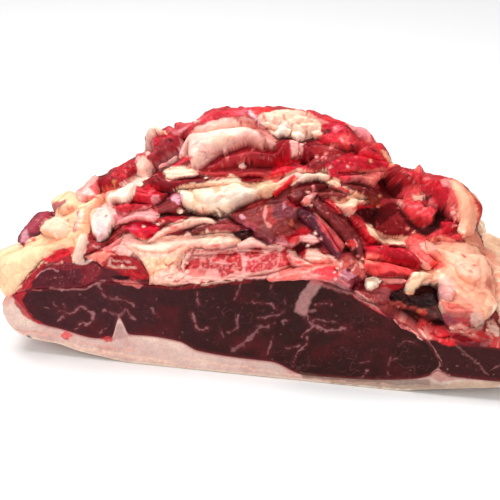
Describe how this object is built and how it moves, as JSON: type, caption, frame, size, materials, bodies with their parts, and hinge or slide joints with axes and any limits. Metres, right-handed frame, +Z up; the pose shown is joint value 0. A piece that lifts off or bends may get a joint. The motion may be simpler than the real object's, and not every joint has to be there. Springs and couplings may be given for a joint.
{
  "type": "raw beef sirloin, whole boned piece",
  "caption": "Whole raw beef sirloin: flat cut face of dark marbled lean over a white fat cap, with a torn boned side of red meat folds and fat lumps rising behind it, resting on its fat.",
  "frame": {"origin": "centre of the bounding box at its base, on the flat underside of the fat cap", "axes": "+X along the cut face, to the right seen from in front; +Y from the front cut to the back cut; +Z up, out of the boned side"},
  "size_m": [0.36, 0.194, 0.154],
  "materials": {
    "cap_fat": "moist waxy fat, pinkish beige on the cut",
    "dark_lean": "moist raw lean, dark burgundy",
    "bright_lean": "wet raw meat, bright red",
    "brown_lean": "moist raw meat, brown red",
    "marbled_lean": "moist raw lean with white marbling",
    "pink_fat": "moist pink membrane and fat",
    "peach_fat": "waxy peach fat",
    "cream_fat": "waxy cream fat, crumbly"
  },
  "bodies": {
    "root": {"fat_cap": "cap_fat", "eye_muscle": "dark_lean", "edge_muscle": "dark_lean", "side_muscle": "dark_lean", "inner_fat": "peach_fat", "marbled_layer": "marbled_lean", "back_fat_a": "peach_fat", "left_fat": "peach_fat", "crown_fat": "cream_fat", "centre_fat": "cream_fat", "top_fat": "cream_fat", "corner_fat": "cream_fat", "roll_fat": "cream_fat", "back_fat_b": "cream_fat", "back_fat_c": "cream_fat", "end_fat": "peach_fat", "brown_flap": "brown_lean", "knuckle_fat": "cream_fat", "red_roll": "bright_lean", "shoulder_roll": "bright_lean", "red_heart": "bright_lean", "crimson_roll": "bright_lean", "hollow_rim": "cream_fat", "corner_prong": "cream_fat", "drop_nub": "cream_fat", "cream_band": "pink_fat", "coral_band": "pink_fat", "twisted_band": "pink_fat", "pink_flap": "pink_fat", "shoulder_band": "dark_lean", "back_band": "bright_lean", "boned_side": "bright_lean"}
  },
  "joints": []
}
